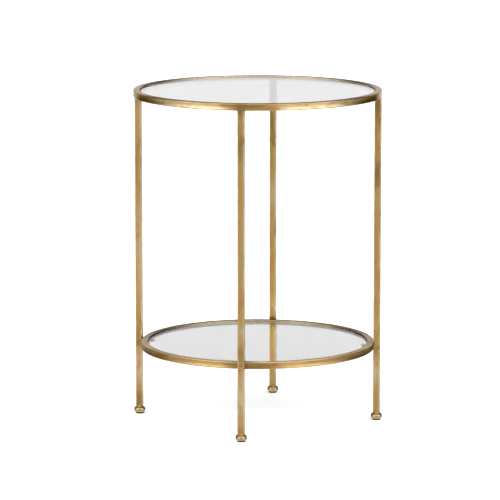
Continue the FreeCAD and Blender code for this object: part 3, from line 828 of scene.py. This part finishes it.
def leg_tree(finish):
    """Straight square tube, closed at both ends."""
    tree, nodes, size, ids = new_tree(
        "straight_square_tube", {"Low": VECTOR, "High": VECTOR, **TUBE_INPUTS},
    )
    path = nodes.add(
        "GeometryNodeCurvePrimitiveLine", {"mode": "POINTS"},
        {"Start": size["Low"], "End": size["High"]},
    )
    section = tube_section(nodes, size)
    tube = nodes.add(
        "GeometryNodeCurveToMesh", None,
        {"Curve": path, "Profile Curve": section, "Fill Caps": True},
    )
    end_tree(nodes, tube, finish)
    return tree, ids


def weld_tree(finish):
    """A mirrored pair of rippled weld beads in the corners between a leg and a ring.

    A bead is a closed tube along Z whose outline runs from its root along one wall, over the bead's
    face and back along the other wall. Bulge shapes the face: 2 is flat, less is full and more is
    hollow.
    """
    tree, nodes, size, ids = new_tree(
        "rippled_weld_pair",
        {"Beside": FLOAT, "Width": FLOAT, "Height": FLOAT, "Length": FLOAT, "Bulge": FLOAT,
         "Ripple": FLOAT, "Pitch": FLOAT, "Place": VECTOR, "Tilt": FLOAT, "Turn": FLOAT},
    )
    blank = nodes.add(
        "GeometryNodeMeshCylinder", {"fill_type": "NGON"},
        {"Vertices": BEAD_CORNERS, "Side Segments": BEAD_ROWS, "Radius": 1.0,
         "Depth": size["Length"]},
    )
    x, y, z = nodes.split(nodes.add("GeometryNodeInputPosition"))
    turned = nodes.math("ARCTAN2", y, x) / (2 * math.pi) + (1.0 + 0.5 / BEAD_CORNERS)
    corner = nodes.math("FLOOR", nodes.math("FRACT", turned) * float(BEAD_CORNERS))
    sweep = (nodes.larger(corner, 1.0) - 1.0) * (math.pi / 2 / (BEAD_CORNERS - 2))
    off_root = nodes.smaller(corner, 1.0)
    along = z + size["Length"] / 2.0
    crest = abs(nodes.math("SINE", along * math.pi / size["Pitch"]))
    ends = nodes.smaller(along, size["Length"] - along) / (size["Width"] * BEAD_END)
    taper = BEAD_END_SIZE + nodes.math("SQRT", nodes.smaller(ends, 1.0)) * (1.0 - BEAD_END_SIZE)
    full = taper * (1.0 - (1.0 - crest) * size["Ripple"] / size["Height"]) * off_root
    across = nodes.larger(nodes.math("COSINE", sweep), 0.0) ** size["Bulge"]
    down = nodes.larger(nodes.math("SINE", sweep), 0.0) ** size["Bulge"]
    placed = nodes.join(
        size["Beside"] + across * full * size["Width"], -(down * full * size["Height"]), along
    )
    bead = nodes.add("GeometryNodeSetPosition", None, {0: blank, "Position": placed})
    twin = nodes.add("GeometryNodeTransform", None, {0: bead, "Scale": (-1.0, 1.0, 1.0)})
    pair = nodes.add("GeometryNodeJoinGeometry", None, {0: [bead, twin]})
    tilted = nodes.add(
        "GeometryNodeTransform", None,
        {0: pair, "Translation": size["Place"], "Rotation": nodes.join(size["Tilt"], 0.0, 0.0)},
    )
    turned_to_leg = nodes.add(
        "GeometryNodeTransform", None, {0: tilted, "Rotation": nodes.join(0.0, 0.0, size["Turn"])}
    )
    end_tree(nodes, turned_to_leg, finish)
    return tree, ids


def fix_normals(mesh):
    """Merges doubles and turns every face outwards."""
    work = bmesh.new()
    work.from_mesh(mesh)
    bmesh.ops.remove_doubles(work, verts=work.verts, dist=MERGE_DISTANCE)
    bmesh.ops.recalc_face_normals(work, faces=work.faces)
    work.to_mesh(mesh)
    work.free()


def turned_mesh(name, outline, steps):
    """A closed mesh turned about Z from points (radius, height) that start and end on the axis."""
    work = bmesh.new()
    turn = [2 * math.pi * step / steps for step in range(steps)]
    rows = []
    for radius, height in outline:
        angles = turn if radius > 0.0 else [0.0]
        places = [(radius * math.cos(angle), radius * math.sin(angle), height) for angle in angles]
        rows.append([work.verts.new(place) for place in places])
    for inner, outer in zip(rows, rows[1:]):
        for step in range(steps):
            after = (step + 1) % steps
            if len(inner) == 1:
                work.faces.new((inner[0], outer[step], outer[after]))
            elif len(outer) == 1:
                work.faces.new((inner[step], outer[0], inner[after]))
            else:
                work.faces.new((inner[step], outer[step], outer[after], inner[after]))
    bmesh.ops.recalc_face_normals(work, faces=work.faces)
    mesh = bpy.data.meshes.new(name)
    work.to_mesh(mesh)
    work.free()
    return mesh


# ---------------------------------------------------------------- the table's pieces


class TableOperator(bpy.types.Operator):
    """Shared options of the operators that dress the table."""

    bl_options = {"REGISTER", "UNDO"}


class DressRings(TableOperator):
    """Bends the square tube of the top ring and the lower ring"""

    bl_idname = "side_table.dress_rings"
    bl_label = "Rings"

    def execute(self, context):
        sizes = context.scene.table_sizes
        finish = finished("antique_brass_ring", ring_brass, context)
        tree, ids = ring_tree(finish)
        for name, node, middle, level in (
            ("brass_top_ring", "top_ring", TOP_MIDDLE, TOP_LEVEL),
            ("brass_lower_ring", "lower_ring", SHELF_MIDDLE, SHELF_LEVEL),
        ):
            ring = grow(
                name, tree, ids,
                {"Middle Radius": middle, "Level": level, "Steps": RING_STEPS, "Side": TUBE_SIDE,
                 "Corner": sizes.tube_corner, "Hollow": sizes.tube_hollow,
                 "Outer Hollow": sizes.ring_hollow, "Points": TUBE_POINTS},
            )
            fix_normals(ring.data)
            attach(ring, "frame")
            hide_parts(node)
        return {"FINISHED"}


class DressLegs(TableOperator):
    """Draws the four square legs and gives them their brushed antique brass"""

    bl_idname = "side_table.dress_legs"
    bl_label = "Legs"

    def execute(self, context):
        sizes = context.scene.table_sizes
        finish = finished("antique_brass_leg", leg_brass, context)
        tree, ids = leg_tree(finish)
        for side in SIDES:
            low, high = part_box("leg_" + side)
            x = (low.x + high.x) / 2
            y = (low.y + high.y) / 2
            leg = grow(
                "brass_leg_" + side, tree, ids,
                {"Low": (x, y, low.z), "High": (x, y, high.z), "Side": LEG_SIDE,
                 "Corner": sizes.tube_corner, "Hollow": sizes.leg_hollow,
                 "Outer Hollow": sizes.leg_hollow, "Points": TUBE_POINTS},
            )
            fix_normals(leg.data)
            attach(leg, "frame")
            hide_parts("leg_" + side)
        return {"FINISHED"}


# Faces of the welds, as powers: under the top ring they are hollow, beside the lower ring full.
HOLLOW_BULGE, FULL_BULGE = 2.8, 1.4

# How far the root of a shelf weld reaches round the leg's corner, as a part of the corner's radius.
ROOT_REACH = 0.75
SHORTEST_PITCH = 0.2 * MM


class DressWelds(TableOperator):
    """Lays the rippled weld beads between legs and rings"""

    bl_idname = "side_table.dress_welds"
    bl_label = "Welds"

    def execute(self, context):
        sizes = context.scene.table_sizes
        finish = finished("antique_brass_small", small_brass, context)
        tree, ids = weld_tree(finish)
        low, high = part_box("top_weld_front")
        under_ring = {
            "Beside": LEG_SIDE / 2, "Width": high.x - LEG_SIDE / 2, "Height": high.z - low.z,
            "Length": high.y - low.y, "Bulge": HOLLOW_BULGE, "Place": (0.0, high.y, high.z),
            "Tilt": math.pi / 2,
        }
        low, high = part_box("shelf_weld_front")
        root = LEG_SIDE / 2 - sizes.tube_corner * ROOT_REACH
        beside_ring = {
            "Beside": root, "Width": high.x - root, "Height": high.y - low.y,
            "Length": high.z - low.z, "Bulge": FULL_BULGE, "Place": (0.0, high.y, low.z),
            "Tilt": 0.0,
        }
        for quarter, side in enumerate(SIDES):
            for joint, shape in (("top_weld_", under_ring), ("shelf_weld_", beside_ring)):
                node = joint + side
                ripples = max(1, round(shape["Length"] / max(sizes.weld_pitch, SHORTEST_PITCH)))
                bead = grow(
                    "brass_" + node, tree, ids,
                    {**shape, "Turn": quarter * math.pi / 2, "Ripple": sizes.weld_ripple,
                     "Pitch": shape["Length"] / ripples},
                )
                fix_normals(bead.data)
                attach(bead, "frame")
                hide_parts(node)
        return {"FINISHED"}


class DressFeet(TableOperator):
    """Finishes the turned feet with their glides, screws and plugs"""

    bl_idname = "side_table.dress_feet"
    bl_label = "Feet"

    def execute(self, context):
        brass_finish = finished("brass_of_feet", turned_brass, context)
        rubber = finished("rubber_of_glides", dark_rubber, context)
        zinc = finished("zinc_steel", zinc_steel, context)
        for side in SIDES:
            dress_node("foot_" + side, brass_finish)
            dress_node("glide_" + side, rubber)
            dress_node("foot_screw_" + side, zinc)
            dress_node("leg_plug_" + side, zinc)
        return {"FINISHED"}


# Circles that divide a plate's faces, as parts of its radius, and the slope where its rim begins.
PLATE_CIRCLES = (0.25, 0.5, 0.75, 0.93)
FACE_SLOPE = 0.9


class DressGlass(TableOperator):
    """Cuts and polishes the two glass plates"""

    bl_idname = "side_table.dress_glass"
    bl_label = "Glass"

    def execute(self, context):
        arris = context.scene.table_sizes.glass_arris
        face = finished("polished_glass", clear_glass, context)
        rim = finished("ground_glass", ground_glass, context)
        for name, node, body in (
            ("glass_top_plate", "top_glass", "top_glass"),
            ("glass_shelf_plate", "lower_glass", "lower_glass"),
        ):
            low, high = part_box(node)
            radius = high.x
            circles = [0.0] + [radius * part for part in PLATE_CIRCLES]
            outline = [(circle, low.z) for circle in circles]
            outline += [(radius - arris, low.z), (radius, low.z + arris)]
            outline += [(radius, high.z - arris), (radius - arris, high.z)]
            outline += [(circle, high.z) for circle in reversed(circles)]
            mesh = turned_mesh(name, outline, PLATE_STEPS)
            mesh.materials.append(face)
            mesh.materials.append(rim)
            for polygon in mesh.polygons:
                if abs(polygon.normal.z) < FACE_SLOPE:
                    polygon.material_index = 1
            plate = add_piece(name, mesh)
            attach(plate, body)
            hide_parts(node)
        return {"FINISHED"}


class DressTabs(TableOperator):
    """Finishes the small tabs inside the rings and the clear bumpers that carry the glass"""

    bl_idname = "side_table.dress_tabs"
    bl_label = "Tabs and bumpers"

    def execute(self, context):
        brass_finish = finished("antique_brass_small", small_brass, context)
        silicone = finished("clear_silicone", clear_silicone, context)
        for side in SIDES:
            for tier in ("top", "shelf"):
                dress_node(f"{tier}_tab_{side}", brass_finish)
                dress_node(f"{tier}_bumper_{side}", silicone)
        return {"FINISHED"}


# ---------------------------------------------------------------- stage

FLOOR_REACH = 150.0
CAMERA_SENSOR = 36.0
CAMERA_NEAR, CAMERA_FAR = 0.1, 400.0

# Zones of the studio's light in degrees: where each starts and where it is full. A TURN counts from
# the camera's side, to the right or to both sides, and a RISE from eye level.
LEFT_BOX_TURN = (-20.0, -38.0)
RIGHT_BOX_TURN = (16.0, 33.0)
BOX_END_TURN = (111.0, 54.0)
FLAG_TURN = (76.0, 100.0)
FLAG_END_TURN = (158.0, 144.0)
WALL_TURN = (144.0, 158.0)
BOX_RISE = (-5.0, 3.0)
BOX_TOP_RISE = (64.0, 48.0)
GAP_RISE = (12.0, 22.0)
WALL_FOOT_RISE = (0.0, -5.0)
CEILING_RISE = (35.0, 75.0)

# Near the floor, boxes and gap take on its own light: start and end of the rise, and the light.
BOX_FOOT = (-7.5, -11.5, 1.05)
GAP_FOOT = (-6.0, -13.0, 1.02)

# Steps in the light of flags and wall: start and end of the rise, and the light that they add.
FLAG_STEPS = ((-7.0, -12.0, 0.48), (-12.0, -26.0, 0.42), (22.0, 50.0, 0.35))
WALL_STEPS = ((0.0, 6.5, -0.05), (6.5, 15.0, -0.68))

# What the wall's foot adds on the right, and what it takes on both sides.
WALL_FOOT_RIGHT, WALL_FOOT_LOSS = 0.5, 0.08

# The flags' share of their light on the left, and how much less of it they have on the right.
FLAG_LEFT, FLAG_RIGHT_LOSS = 1.3, 0.8


def stepped(nodes, light, rise, steps):
    """Light to which each step of the rise adds its own."""
    for start, end, added in steps:
        light = light + nodes.ease(rise, start, end) * added
    return light


class BuildStage(TableOperator):
    """Sets the pale floor, the soft studio light and the camera"""

    bl_idname = "side_table.build_stage"
    bl_label = "Stage"

    def execute(self, context):
        studio = context.scene.table_studio
        self.lay_floor(studio)
        self.light_world(context, studio)
        self.place_camera(context, studio)
        return {"FINISHED"}

    @staticmethod
    def lay_floor(studio):
        """One very large pale floor."""
        mesh = bpy.data.meshes.new("studio_floor")
        corners = [
            (FLOOR_REACH * across, FLOOR_REACH * along, 0.0)
            for across, along in ((-1, -1), (1, -1), (1, 1), (-1, 1))
        ]
        mesh.from_pydata(corners, [], [(0, 1, 2, 3)])

        def wire_up(nodes):
            tone = (*studio.floor_tone, 1.0)
            return nodes.add("ShaderNodeBsdfDiffuse", None, {"Color": tone, "Roughness": 0.0})

        mesh.materials.append(material("studio_floor", wire_up))
        floor = add_piece("studio_floor", mesh)
        floor.visible_glossy = False

    @staticmethod
    def light_world(context, studio):
        """Light by direction: boxes beside the camera, flags beside the table, a wall behind."""
        world = bpy.data.worlds.new("studio")
        world.use_nodes = True
        context.scene.world = world
        nodes = Nodes(world.node_tree)
        x, y, z = nodes.split(nodes.add("ShaderNodeTexCoord", take="Generated"))
        turn = studio.camera_turn
        toward = x * math.sin(turn) - y * math.cos(turn)
        right = x * math.cos(turn) + y * math.sin(turn)
        around = nodes.math("ARCTAN2", right, toward) * math.degrees(1.0)
        spread = abs(around)
        rise = nodes.math("ARCSINE", z) * math.degrees(1.0)
        on_right = nodes.math("GREATER_THAN", around, 0.0)
        below_top = nodes.ease(rise, *BOX_TOP_RISE)

        beside = nodes.ease(around, *LEFT_BOX_TURN) + nodes.ease(around, *RIGHT_BOX_TURN)
        start, end, foot = BOX_FOOT
        boxes = stepped(nodes, studio.box_low, rise, [(start, end, foot - studio.box_low)])
        boxes = boxes + nodes.ease(rise, *BOX_RISE) * below_top * (studio.box_high - studio.box_low)

        start, end, foot = GAP_FOOT
        front = stepped(nodes, studio.front, rise, [(start, end, foot - studio.front)])
        front = front + nodes.ease(rise, *GAP_RISE) * below_top * (studio.box_high - studio.front)

        flags = studio.flag * (FLAG_LEFT - on_right * FLAG_RIGHT_LOSS)
        flags = stepped(nodes, flags, rise, FLAG_STEPS)
        wall = stepped(nodes, studio.wall, rise, WALL_STEPS)
        wall_foot = on_right * WALL_FOOT_RIGHT - WALL_FOOT_LOSS
        wall = wall + nodes.ease(rise, *WALL_FOOT_RISE) * wall_foot
        total = (
            front * (1.0 - beside)
            + boxes * beside * nodes.ease(spread, *BOX_END_TURN)
            + flags * nodes.ease(spread, *FLAG_TURN) * nodes.ease(spread, *FLAG_END_TURN)
            + wall * nodes.ease(spread, *WALL_TURN)
            + nodes.ease(rise, *CEILING_RISE) * studio.ceiling
        )
        light = nodes.add("ShaderNodeBackground", None, {"Color": nodes.join(total, total, total)})
        plain = nodes.add("ShaderNodeBackground", None, {"Color": (*WHITE, 1.0)})
        seen = nodes.add("ShaderNodeLightPath", take="Is Camera Ray")
        nodes.add("ShaderNodeOutputWorld", None, {"Surface": nodes.layered(seen, light, plain)})

    @staticmethod
    def place_camera(context, studio):
        """A long lens that looks a little down on the table, from just right of its front leg."""
        camera = bpy.data.cameras.new("camera")
        camera.lens = studio.lens
        camera.sensor_width = CAMERA_SENSOR
        camera.clip_start = CAMERA_NEAR
        camera.clip_end = CAMERA_FAR
        holder = bpy.data.objects.new("camera", camera)
        context.collection.objects.link(holder)
        holder.location = studio.camera_place
        holder.rotation_euler = (
            math.pi / 2 - studio.camera_pitch, 0.0, studio.camera_turn + studio.camera_aim
        )
        context.scene.camera = holder
        context.scene.view_settings.view_transform = "Standard"


# ---------------------------------------------------------------- panel and registration


class SideTablePanel(bpy.types.Panel):
    """Lists the table's operators and settings."""

    bl_idname = "VIEW3D_PT_side_table"
    bl_label = "Side table"
    bl_space_type = "VIEW_3D"
    bl_region_type = "UI"
    bl_category = "Side table"

    def draw(self, context):
        layout = self.layout
        for operator in OPERATORS:
            layout.operator(operator.bl_idname)
        for label in GROUPS:
            group = getattr(context.scene, label)
            box = layout.box()
            for key in group.__annotations__:
                box.prop(group, key)


OPERATORS = (DressRings, DressLegs, DressWelds, DressFeet, DressGlass, DressTabs, BuildStage)
GROUPS = {"table_sizes": TableSizes, "table_finish": TableFinish, "table_studio": StudioSetup}
CLASSES = (*GROUPS.values(), *OPERATORS, SideTablePanel)


def register():
    for cls in CLASSES:
        bpy.utils.register_class(cls)
    for label, group in GROUPS.items():
        setattr(bpy.types.Scene, label, bpy.props.PointerProperty(type=group))


def unregister():
    for label in GROUPS:
        delattr(bpy.types.Scene, label)
    for cls in reversed(CLASSES):
        bpy.utils.unregister_class(cls)


def main():
    register()
    for operator in OPERATORS:
        group, name = operator.bl_idname.split(".")
        getattr(getattr(bpy.ops, group), name)()


if __name__ == "__main__":
    main()
